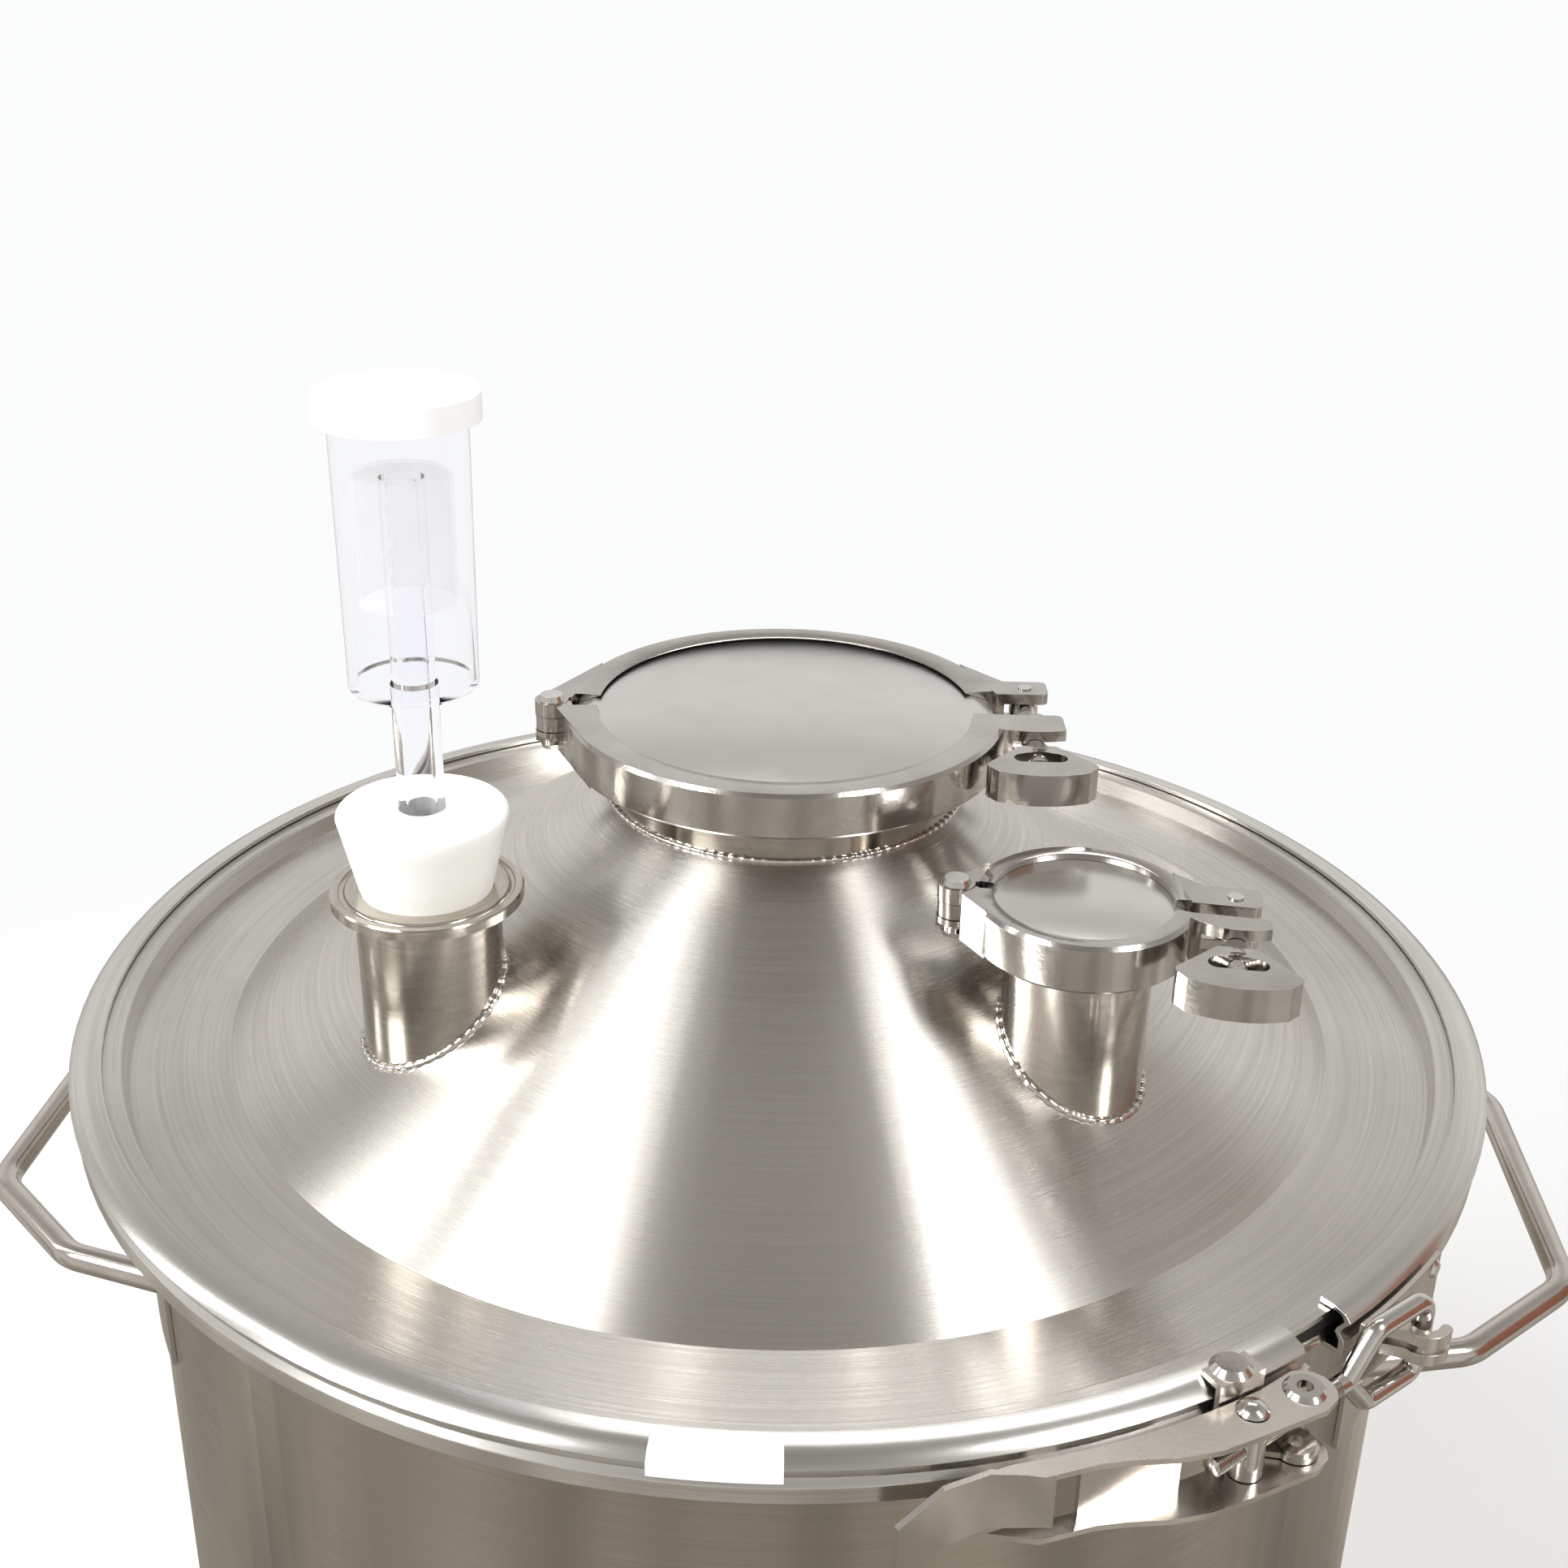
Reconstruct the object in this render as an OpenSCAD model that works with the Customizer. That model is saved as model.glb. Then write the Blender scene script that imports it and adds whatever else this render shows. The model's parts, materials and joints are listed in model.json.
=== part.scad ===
// Stainless steel drum fermenter with a conical lid, a lever-lock band,
// three clamp ports and a three-piece airlock in a bung.
// Millimetres, +Z up, origin on the floor under the middle of the vessel, ports and lever towards -Y.

/* [Vessel] */
// Height of the rim bead's top above the floor
vessel_h = 465; // [250:5:700]
// Outer radius of the wall
vessel_r = 188.5; // [186.5:0.5:189]
// Thickness of the vessel's sheet
vessel_t = 1.5; // [1:0.1:2.5]
// Outer radius of the rounded bottom corner
corner_r = 20; // [8:1:40]
// Outer radius of the rolled rim bead
rim_r = 200; // [199.5:0.1:200.5]
// Height of the rolled rim bead
bead_h = 4; // [3.6:0.1:4]

/* [Handles] */
// Diameter of the handle rod
rod_d = 7.8; // [6:0.2:9]
// Drop of the handles below the rim
handle_drop = 55; // [45:1:120]
// Turn of the handles about the vessel, away from the X axis
handle_turn = -4.25; // [-10:0.25:10]
// Distance of the grip from the vessel's axis
grip_x = 231; // [222:1:245]
// Half length of the straight grip, between its bends
grip_half = 47; // [38:1:55]
// Distance of the outer bends from the vessel's axis
elbow_x = 197; // [194:1:202]
// Half distance between the outer bends
elbow_half = 78.5; // [72:0.5:84]

/* [Lid] */
// Thickness of the lid's sheet
lid_t = 1.5; // [1:0.1:2]
// Outer radius of the lid's flange
flange_r = 199.4; // [198:0.1:199.6]
// Radius at which the cone starts
cone_r = 162; // [140:1:170]
// Rise of the cone for each millimetre towards the axis
cone_slope = 0.629; // [0.45:0.01:0.68]
// Depth of the sunken channel below the flange
channel_d = 5.7; // [3:0.1:8]
// Thickness of the lid gasket
gasket_t = 4; // [3.6:0.1:4]

/* [Lock band] */
// Outer radius of the band's nose
band_r = 205; // [204.6:0.1:206]
// Thickness of the band's sheet
band_t = 1.5; // [1:0.1:1.6]
// Bearing of the gap's middle between the band's ends
gap_at = -51.25; // [-52:0.25:-50]
// Width of the gap, in degrees
gap_deg = 4.5; // [3:0.5:5]

/* [Clamp ports] */
// Outer radius of the wide port's tube
wide_tube_r = 50.8; // [50.8:0.1:50.8]
// Outer radius of the wide port's flange
wide_flange_r = 59.5; // [59.5:0.1:59.5]
// Outer radius of a narrow port's tube
slim_tube_r = 19.05; // [19.05:0.05:19.05]
// Outer radius of a narrow port's flange
slim_flange_r = 25.25; // [25.25:0.05:25.25]
// Wall of the port tubes
tube_t = 1.6; // [1.2:0.1:2]
// Thickness of a port flange at its rim
flange_rim = 2.85; // [2.5:0.05:3.2]
// Thickness of a port gasket
seal_t = 2; // [1.5:0.1:2.4]
// Height of the wide port's face above the rim
wide_face_h = 86.8; // [84:0.1:110]
// Height of the right port's face above the rim
right_face_h = 69.3; // [64:0.1:90]
// Height of the left port's face above the rim
left_face_h = 66.4; // [60:0.1:90]
// Right port, left to right
right_x = 76.3; // [70:0.1:90]
// Right port, front to back
right_y = -79.8; // [-90:0.1:-75]
// Turn of the right port's clamp
right_turn = -9.5; // [-20:0.5:5]
// Left port, left to right
left_x = -93; // [-100:0.5:-80]
// Left port, front to back
left_y = -62.1; // [-75:0.1:-55]

/* [Clamps] */
// Half height of a clamp
clamp_half = 6.5; // [6:0.1:7]
// Wall of a clamp outside the flanges
clamp_wall = 2.3; // [2:0.1:3]
// Thickness of the slot between the two lugs of an ear
lug_gap = 6.7; // [6.5:0.1:7.2]
// Diameter of a swing bolt
bolt_d = 6; // [5:0.5:6]
// Span of a wing nut
wing_w = 30; // [26:0.5:32]
// Length of a wing nut's loop
wing_l = 20; // [18:0.5:22]

/* [Bung and airlock] */
// Radius of the bung's top
bung_top_r = 22.2; // [21:0.1:23]
// Length of the bung above the port's face
bung_up = 22.9; // [18:0.1:26]
// Length of the bung inside the port
bung_down = 12; // [8:0.5:16]
// Radius of the airlock's stem
stem_r = 6; // [5:0.1:6.5]
// Height of the airlock's floor above the bung
stem_up = 33.5; // [25:0.5:45]
// Outer radius of the airlock's body at its floor
body_low_r = 16.2; // [15:0.1:16.5]
// Outer radius of the airlock's body under its rim
body_high_r = 16.8; // [16.6:0.1:17.2]
// Height of the airlock's body
body_h = 73.5; // [60:0.5:90]
// Wall of the airlock's body
body_t = 1.2; // [1:0.1:1.5]
// Outer radius of the airlock's bell
bell_r = 12.3; // [10:0.1:13]
// Length of the airlock's bell
bell_h = 32.5; // [24:0.5:36]
// Outer radius of the airlock's cap
cap_r = 20; // [19.8:0.1:21]

/* [Hidden] */
$fn = 96;

// Clearances: loose ones between moving pieces, close ones at shafts
loose = 0.3;
close = 0.05;

// Levels above the floor
lid_low = vessel_h + gasket_t;
lid_top = lid_low + lid_t;
nose_z = lid_top - 0.7;
annulus_z = lid_top - channel_d;
wide_face = vessel_h + wide_face_h;
right_face = vessel_h + right_face_h;
left_face = vessel_h + left_face_h;

// Rim of the vessel: the wall flares out so that the lid's channel drops in
seat_r = 192.5;
flare_r = seat_r + vessel_t;
flare_low = 20;
flare_high = 9;

// Height of the cone's outer face above the floor at a distance from the axis
function cone_z(r) = annulus_z + (cone_r - r) * cone_slope;
// Sheet thickness of the cone measured straight down
cone_drop = lid_t * sqrt(1 + cone_slope * cone_slope);

// Points of an arc, centre c, radius r, from angle a to angle b
function arc(c, r, a, b, n = 8) = [for (i = [0:n]) c + r * [cos(a + (b - a) * i / n), sin(a + (b - a) * i / n)]];
function polar(r, a) = [r * cos(a), r * sin(a)];

function unit(v) = v / norm(v);
function turned(v, a) = [v[0] * cos(a) - v[1] * sin(a), v[0] * sin(a) + v[1] * cos(a)];

// Points of a round bend at corner b between the straights a-b and b-c
function bend_points(a, b, c, bend, n = 6) =
    let (u = unit(b - a), v = unit(c - b), turn = atan2(cross(u, v), u * v),
        start = b - u * bend * tan(abs(turn) / 2), inward = sign(turn) * turned(u, 90))
    [for (i = [0:n]) start + bend * (inward - turned(inward, turn * i / n))];

function bent_path(points, bend) = concat([points[0]],
    [for (i = [1:len(points) - 2]) each bend_points(points[i - 1], points[i], points[i + 1], bend)],
    [points[len(points) - 1]]);

// Round rod along a path in the XY plane
module swept_rod(path, r, sides) {
    last = len(path) - 1;
    ring = [for (i = [0:last]) let (t = unit(path[min(i + 1, last)] - path[max(i - 1, 0)]), n = turned(t, 90))
        for (k = [0:sides - 1]) let (a = 360 * k / sides)
            [path[i][0] + r * cos(a) * n[0], path[i][1] + r * cos(a) * n[1], r * sin(a)]];
    walls = [for (i = [0:last - 1]) for (k = [0:sides - 1])
        let (p = i * sides + k, q = i * sides + (k + 1) % sides)
            each [[p, p + sides, q + sides], [p, q + sides, q]]];
    ends = [[for (k = [0:sides - 1]) k], [for (k = [sides - 1:-1:0]) last * sides + k]];
    polyhedron(ring, concat(walls, ends));
}

// Vessel
module vessel() {
    inner_r = vessel_r - vessel_t;
    color("silver")
        rotate_extrude($fn = 180)
            union() {
                polygon(concat(
                    [[0, 0]],
                    arc([vessel_r - corner_r, corner_r], corner_r, -90, 0),
                    [[vessel_r, vessel_h - flare_low], [flare_r, vessel_h - flare_high],
                        [flare_r, vessel_h - vessel_t], [rim_r - bead_h / 2, vessel_h - vessel_t],
                        [rim_r - bead_h / 2, vessel_h], [seat_r, vessel_h],
                        [seat_r, vessel_h - flare_high], [inner_r, vessel_h - flare_low]],
                    arc([vessel_r - corner_r, corner_r], corner_r - vessel_t, 0, -90),
                    [[0, vessel_t]]));
                difference() {
                    translate([rim_r - bead_h / 2, vessel_h - bead_h / 2])
                        circle(r = bead_h / 2, $fn = 48);
                    translate([rim_r - bead_h / 2, vessel_h - bead_h / 2])
                        circle(r = bead_h / 2 - vessel_t, $fn = 48);
                }
            }
}

// Handles: the frame has the grip towards +X
pad_t = 1.2;
pad_half_h = 15;
pad_half_deg = 6;
leg_half = 86;
leg_x = 160;
handle_z = vessel_h - handle_drop;
handle_bend = 16;
leg_deg = asin(leg_half / vessel_r);

module handle_shape() {
    translate([0, 0, handle_z])
        difference() {
            swept_rod(bent_path([[leg_x, leg_half + 2], [elbow_x, elbow_half], [grip_x, grip_half],
                [grip_x, -grip_half], [elbow_x, -elbow_half], [leg_x, -leg_half - 2]], handle_bend),
                rod_d / 2, 16);
            cylinder(r = vessel_r + pad_t, h = 4 * rod_d, center = true, $fn = 180);
        }
}

module right_handle() {
    color("silver") rotate(handle_turn) handle_shape();
}

module left_handle() {
    color("silver") rotate(180 + handle_turn) handle_shape();
}

module handle_pads() {
    color("silver")
        for (side = [0, 180])
            for (leg = [-1, 1])
                rotate(side + handle_turn + leg * leg_deg - pad_half_deg)
                    rotate_extrude(angle = 2 * pad_half_deg, $fn = 180)
                        translate([vessel_r, handle_z - pad_half_h])
                            square([pad_t, 2 * pad_half_h]);
}

// Lid
riser_r = 189.5;
module lid() {
    wide_bore = wide_tube_r - tube_t;
    slim_bore = slim_tube_r - tube_t;
    step_r = seat_r - 0.7;
    color("silver")
        difference() {
            rotate_extrude($fn = 180)
                polygon([[wide_bore, cone_z(wide_bore)], [cone_r, annulus_z], [riser_r, annulus_z],
                    [step_r - lid_t / 2, lid_top - 0.6], [step_r, lid_top], [flange_r, lid_top],
                    [flange_r, lid_low], [step_r + lid_t / 2, lid_low],
                    [riser_r + lid_t, annulus_z - lid_t], [cone_r, annulus_z - lid_t],
                    [wide_bore, cone_z(wide_bore) - cone_drop]]);
            for (p = [[right_x, right_y], [left_x, left_y]])
                translate([p[0], p[1], annulus_z])
                    cylinder(r = slim_bore, h = 200);
        }
}

module lid_gasket() {
    color("dimgray")
        translate([0, 0, vessel_h])
            difference() {
                cylinder(r = flange_r - 0.4, h = gasket_t, $fn = 180);
                translate([0, 0, -1])
                    cylinder(r = seat_r + 1, h = gasket_t + 2, $fn = 180);
            }
}

// Lock band: a lip over the lid, a nose, a waist and a skirt that hooks under the bead
lip_r = 196;
hook_r = 194.5;
hook_top = vessel_h - bead_h - loose;
lip_low = lid_top + loose;
skirt_r = band_r - 1;

function band_outside() = [[lip_r, lip_low + band_t], [band_r - 5, lip_low + band_t - 0.1],
    [band_r - 1.6, nose_z + 1.3], [band_r, nose_z - 0.4], [band_r - 1.8, nose_z - 2.6],
    [band_r - 2.4, nose_z - 4.4], [skirt_r, nose_z - 6.2], [skirt_r, hook_top - band_t]];

function band_inside() = [[hook_r, hook_top - band_t], [hook_r, hook_top],
    [skirt_r - band_t, hook_top], [skirt_r - band_t, nose_z - 6.5],
    [band_r - 2.4 - band_t, nose_z - 4.5], [band_r - 1.8 - band_t, nose_z - 2.9],
    [band_r - band_t - 0.3, nose_z - 0.7], [band_r - 2.4, nose_z + 0.4],
    [band_r - 4.6, lip_low], [lip_r, lip_low]];

module lock_band() {
    color("silver")
        rotate(gap_at + gap_deg / 2)
            rotate_extrude(angle = 360 - gap_deg, $fn = 180)
                polygon(concat(band_outside(), band_inside()));
}

// Lever lock, around the level mid_z; bearings are angles about the vessel's axis
mid_z = nose_z - 10.5;
plate_t = 1.5;
cheek_half = 9.5;
mount_r = band_r + loose;
pivot = [119, -176];
barrel = [106, -183];
rod_dir = [0.789, 0.614] / norm([0.789, 0.614]);
rod_angle = atan2(rod_dir[1], rod_dir[0]);
loop_len = 62;
bulge_len = 37;
bar = barrel + loop_len * rod_dir;
pivot_r = 3;
barrel_r = 4;
stud_r = 2.5;
wire_r = 2.4;
ear_z = cheek_half - plate_t - loose;

// Eye of the loop, upright: its half height and the length of its level stretch
eye_half = 10.6;
eye_len = 19;

// Inner edge of the lever's cheeks: they lie along the band, clear of the bracket's upright plate
cheek_in_r = mount_r + plate_t + 2 * loose;
head_r = 6.8;
head_at = pivot + [0.5, -0.5];

// Plate on the band's outer face between two bearings
module band_plate(from, to, low, high) {
    rotate(from)
        rotate_extrude(angle = to - from, $fn = 180)
            translate([mount_r, low])
                square([plate_t, high - low]);
}

module lever_bracket() {
    root = polar(mount_r + plate_t / 2, -59.5);
    root_b = polar(mount_r + plate_t / 2, -53.8);
    color("silver")
        difference() {
            union() {
                band_plate(-61.5, -53.6, mid_z - ear_z, mid_z + ear_z);
                band_plate(-61.5, -57.9, mid_z, lip_low + band_t + loose);
                rotate(-61.5)
                    rotate_extrude(angle = 3.6, $fn = 180)
                        translate([band_r - 5, lip_low + band_t])
                            square([plate_t + 5.3, plate_t]);
                for (z = [mid_z + ear_z - plate_t, mid_z - ear_z])
                    translate([0, 0, z])
                        linear_extrude(plate_t)
                            union() {
                                polygon([root, pivot + [-4, -3.2], pivot + [4, 3.2], root_b]);
                                translate(pivot) circle(r = 5.2);
                            }
            }
            translate([pivot[0], pivot[1], mid_z - 20])
                cylinder(r = pivot_r, h = 40);
            translate([0, 0, lip_low + band_t - 1])
                translate(rivet_point)
                    cylinder(r = 2, h = 10);
        }
}

// Top rivet of the lever bracket, through the band's lip
rivet_point = polar(band_r - 2.4, -59.7);

module pivot_rivets() {
    color("gainsboro")
        for (side = [-1, 1])
            translate([pivot[0], pivot[1], mid_z])
                rotate([side > 0 ? 0 : 180, 0, 0])
                    difference() {
                        union() {
                            translate([0, 0, ear_z - plate_t])
                                cylinder(r = pivot_r, h = cheek_half - ear_z + plate_t + close);
                            translate([0, 0, cheek_half + close])
                                cylinder(r1 = 5, r2 = 4, h = 1);
                            translate([0, 0, ear_z - plate_t - 0.8])
                                cylinder(r = 4.4, h = 0.8);
                        }
                        translate([0, 0, 4])
                            cylinder(r = 1.9, h = 10);
                    }
}

// Outline of a cheek seen from above, round end first
function cheek_outline() = concat(
    arc(head_at, head_r, -20, 110, 6),
    arc([0, 0], cheek_in_r, -58.3, -75.6, 12),
    [[46.7, -203], [58, -204.5], [64, -202.4], [70.5, -200.2], [77, -199], [87.5, -198],
        [97, -195.6], [106.8, -190.8]],
    [head_at + polar(head_r, -62)]);

// Upright wall over a plan segment, top and bottom heights at both ends
module slope_wall(a, b, tops, lows) {
    span = norm(b - a);
    translate([a[0], a[1], 0])
        rotate([90, 0, atan2(b[1] - a[1], b[0] - a[0])])
            linear_extrude(plate_t, center = true)
                polygon([[0, lows[0]], [span, lows[1]], [span, tops[1]], [0, tops[0]]]);
}

module lever() {
    color("silver")
        difference() {
            union() {
                for (z = [mid_z + cheek_half - plate_t, mid_z - cheek_half])
                    translate([0, 0, z])
                        linear_extrude(plate_t)
                            polygon(cheek_outline());
                slope_wall(polar(cheek_in_r + 1.4, -71.5), polar(cheek_in_r + 1.4, -64.5),
                    [mid_z + cheek_half - 0.2, mid_z + cheek_half - 0.2],
                    [mid_z - cheek_half + 0.2, mid_z - cheek_half + 0.2]);
                slope_wall([60.5, -203.2], [46.2, -203.2],
                    [mid_z + cheek_half, mid_z + cheek_half],
                    [mid_z - 5, mid_z - 5.5]);
                slope_wall([47, -203], [36.5, -205.6],
                    [mid_z + cheek_half, mid_z + cheek_half - 2.5],
                    [mid_z - 5.4, mid_z - 9]);
                slope_wall([37, -205.4], [26.5, -212],
                    [mid_z + cheek_half - 2.4, mid_z + cheek_half - 7.5],
                    [mid_z - 8.8, mid_z - 14]);
            }
            translate([pivot[0], pivot[1], mid_z - 20])
                cylinder(r = pivot_r + close, h = 40);
            translate([barrel[0], barrel[1], mid_z - 20])
                cylinder(r = pivot_r + close, h = 40);
        }
}

module trunnion() {
    inside = cheek_half - plate_t - loose;
    color("gainsboro")
        translate([barrel[0], barrel[1], mid_z])
            difference() {
                union() {
                    cylinder(r = barrel_r, h = 2 * inside, center = true);
                    cylinder(r = pivot_r, h = 2 * (cheek_half + loose), center = true);
                    for (side = [-1, 1])
                        translate([0, 0, side * (cheek_half + loose)])
                            intersection() {
                                translate([0, 0, -side * 2.6])
                                    sphere(r = 4.6);
                                translate([0, 0, side * 2])
                                    cube([12, 12, 4], center = true);
                            }
                }
                rotate([0, 90, rod_angle])
                    cylinder(r = stud_r + close, h = 20, center = true);
            }
}

module loop_rod() {
    tail = -12.5;
    color("gainsboro")
        translate([barrel[0], barrel[1], mid_z])
            rotate([90, 0, rod_angle])
                union() {
                    translate([tail, 0, 0])
                        rotate([0, 90, 0])
                            cylinder(r = stud_r, h = bulge_len - tail);
                    swept_rod(bent_path([[bulge_len - 1.6, 2], [loop_len - eye_len, eye_half],
                        [loop_len, eye_half], [loop_len, -eye_half], [loop_len - eye_len, -eye_half],
                        [bulge_len - 1.6, -2]], 4), wire_r, 16);
                }
}

// Two prongs of the catch, one beside the other inside the loop's eye
prong_t = 3.2;
prong_gap = 2;

module catch_bracket() {
    low = mid_z - 9;
    high = mid_z + 9;
    seat = bar + polar(0.7, -43);
    color("silver")
        union() {
            band_plate(-48, -37.3, low, high);
            for (z = [mid_z + prong_gap / 2, mid_z - prong_gap / 2 - prong_t])
                translate([0, 0, z])
                    linear_extrude(prong_t)
                        polygon(concat(
                            [polar(mount_r + plate_t / 2, -44)],
                            arc(seat, 3.7, -173, -28, 10),
                            arc(seat + polar(5.1, -28), 1.4, 130, -6, 4),
                            arc(seat, 6.5, -28, -143, 8),
                            [polar(mount_r + plate_t / 2, -45.6)]));
        }
}

module bracket_rivets() {
    color("gainsboro")
        union() {
            translate([rivet_point[0], rivet_point[1], lip_low + band_t])
                union() {
                    cylinder(r = 2, h = plate_t);
                    translate([0, 0, plate_t])
                        cylinder(r1 = 5, r2 = 3.6, h = 1.4);
                }
            for (place = [[-38.3, 6], [-38.3, -6], [-42, 0]])
                rotate(place[0])
                    translate([mount_r + plate_t, 0, mid_z + place[1]])
                        rotate([0, 90, 0])
                            cylinder(r1 = 2.6, r2 = 1.8, h = 0.8);
        }
}

// Sticker folded over the band's nose, blank
label_t = 0.3;
module label() {
    color("white")
        rotate(-97.4)
            rotate_extrude(angle = 8.2, $fn = 180)
                polygon([[band_r - 7.6, lip_low + band_t], [band_r - 5, lip_low + band_t - 0.1],
                    [band_r - 1.6, nose_z + 1.3], [band_r, nose_z - 0.4],
                    [band_r, nose_z - 3.6], [band_r + label_t, nose_z - 3.6],
                    [band_r + label_t, nose_z - 0.3], [band_r - 1.5, nose_z + 1.65],
                    [band_r - 4.9, lip_low + band_t + label_t - 0.1],
                    [band_r - 7.6, lip_low + band_t + label_t]]);
}

// Port ferrule: tube with a flange that thins towards its rim, gasket groove on its face
taper = tan(20);
module ferrule_profile(tube_r, flange, face, foot) {
    difference() {
        polygon([[tube_r - tube_t, foot], [tube_r, foot],
            [tube_r, face - flange_rim - (flange - tube_r) * taper],
            [flange, face - flange_rim], [flange, face - 0.4], [flange - 0.4, face],
            [tube_r - tube_t, face]]);
        translate([(flange + tube_r) / 2, face])
            circle(r = 0.9, $fn = 24);
    }
}

module centre_ferrule() {
    bore = wide_tube_r - tube_t;
    color("silver")
        rotate_extrude($fn = 180)
            difference() {
                ferrule_profile(wide_tube_r, wide_flange_r, wide_face, cone_z(wide_tube_r) - 2);
                polygon([[bore - 1, cone_z(bore - 1)], [wide_tube_r + 5, cone_z(wide_tube_r + 5)],
                    [wide_tube_r + 5, annulus_z], [bore - 1, annulus_z]]);
            }
}

module slim_ferrule(x, y, face) {
    difference() {
        translate([x, y, 0])
            rotate_extrude($fn = 96)
                ferrule_profile(slim_tube_r, slim_flange_r, face, annulus_z + 4);
        cone_below(0);
    }
}

// Everything under the cone's outer face, raised by lift
module cone_below(lift) {
    top_r = 30;
    translate([0, 0, annulus_z + lift])
        cylinder(r1 = cone_r, r2 = top_r, h = (cone_r - top_r) * cone_slope, $fn = 180);
    translate([0, 0, annulus_z + lift - 40])
        cylinder(r = cone_r, h = 40, $fn = 180);
}

module right_ferrule() {
    color("silver") slim_ferrule(right_x, right_y, right_face);
}

module left_ferrule() {
    color("silver") slim_ferrule(left_x, left_y, left_face);
}

module weld_beads() {
    bead = 1.2;
    color("gainsboro") {
        rotate_extrude($fn = 180)
            polygon([[wide_tube_r, cone_z(wide_tube_r)],
                [wide_tube_r + 1.4, cone_z(wide_tube_r + 1.4)], [wide_tube_r, cone_z(wide_tube_r) + 1.3]]);
        for (p = [[right_x, right_y], [left_x, left_y]])
            difference() {
                intersection() {
                    translate([p[0], p[1], annulus_z])
                        cylinder(r = slim_tube_r + bead, h = 70);
                    cone_below(bead);
                }
                translate([p[0], p[1], annulus_z - 1])
                    cylinder(r = slim_tube_r, h = 80);
                cone_below(0);
            }
    }
}

// Port hardware in its own frame: z = 0 at the middle of the gasket, hinge towards -X
module at_centre() {
    translate([0, 0, wide_face + seal_t / 2]) children();
}

module at_right() {
    translate([right_x, right_y, right_face + seal_t / 2])
        rotate(right_turn)
            children();
}

// Where each clamp's ears and bolt stand: bolt line, rear ear's inner face, front ear's inner face
wide_set = [wide_flange_r, 69.6, 10.3, -5, 53.2, wide_tube_r];
slim_set = [slim_flange_r, 37.6, 1.4, -4, 22.9, slim_tube_r];
ear_len = 10;
front_len = [12, 7];
function groove_r(s) = s[0] + 0.4;
function ring_r(s) = groove_r(s) + clamp_wall;
function bolt_x(s) = s[1];
function rear_y(s) = s[2];
function front_y(s) = s[3];
function open_r(s) = s[4];
function pin_y(s) = rear_y(s) + ear_len / 2;
function hinge_x(s) = -(ring_r(s) + 4.4);
function front_t(s) = s[0] > 40 ? front_len[0] : front_len[1];
function nut_y(s) = front_y(s) - front_t(s) - loose;

pin_r = 2;
hinge_r = 2.5;
knuckle_r = 4.8;
tongue_half = 2.1;
seal_gap = 0.1;

module seal(s) {
    difference() {
        cylinder(r = s[0] - 0.3, h = seal_t, center = true, $fn = 120);
        cylinder(r = s[5] - tube_t, h = seal_t + 2, center = true, $fn = 120);
    }
}

module blank_cap(s) {
    up = seal_t / 2;
    top = up + flange_rim + (s[0] - open_r(s) + 0.3) * taper;
    crown = min(top, clamp_half - 0.9);
    crown_r = s[0] - (crown - up - flange_rim) / taper;
    rotate_extrude($fn = 180)
        polygon([[0, up], [s[0] - 0.3, up], [s[0], up + 0.3], [s[0], up + flange_rim],
            [crown_r, crown], [0, crown]]);
}

// Cross-section of a clamp ring: a groove with sloping flanks over the two flanges
module clamp_section(s) {
    flat = seal_t / 2 + flange_rim + seal_gap;
    edge = flat + (s[0] - open_r(s)) * taper;
    polygon([[open_r(s), edge], [open_r(s), clamp_half - 0.3], [open_r(s) + 0.5, clamp_half],
        [ring_r(s) - 1, clamp_half], [ring_r(s), clamp_half - 1], [ring_r(s), -clamp_half + 1],
        [ring_r(s) - 1, -clamp_half], [open_r(s) + 0.5, -clamp_half], [open_r(s), -clamp_half + 0.3],
        [open_r(s), -edge], [s[0], -flat], [groove_r(s), -flat], [groove_r(s), flat], [s[0], flat]]);
}

module clamp_arc(s, from, to) {
    rotate(from)
        rotate_extrude(angle = to - from, $fn = 120)
            clamp_section(s);
}

// Plan of an ear between two faces; it leans on the ring at the bearing lean
module ear_plan(s, near, far, lean, reach) {
    flip = far > near ? 1 : -1;
    polygon(concat(
        [polar(ring_r(s) - 0.2, flip * lean), [ring_r(s) + 1.5, far]],
        [for (i = [0:4]) [bolt_x(s) + reach - 2, far - flip * 2] + 2 * [sin(i * 22.5), flip * cos(i * 22.5)]],
        [for (i = [0:4]) [bolt_x(s) + reach - 2, near + flip * 2] + 2 * [cos(i * 22.5), -flip * sin(i * 22.5)]],
        [[ring_r(s) - clamp_wall / 2, near]]));
}

module lug_slot(s) {
    translate([ring_r(s) + 1.2, -40, -lug_gap / 2])
        cube([40, 80, lug_gap]);
}

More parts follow.
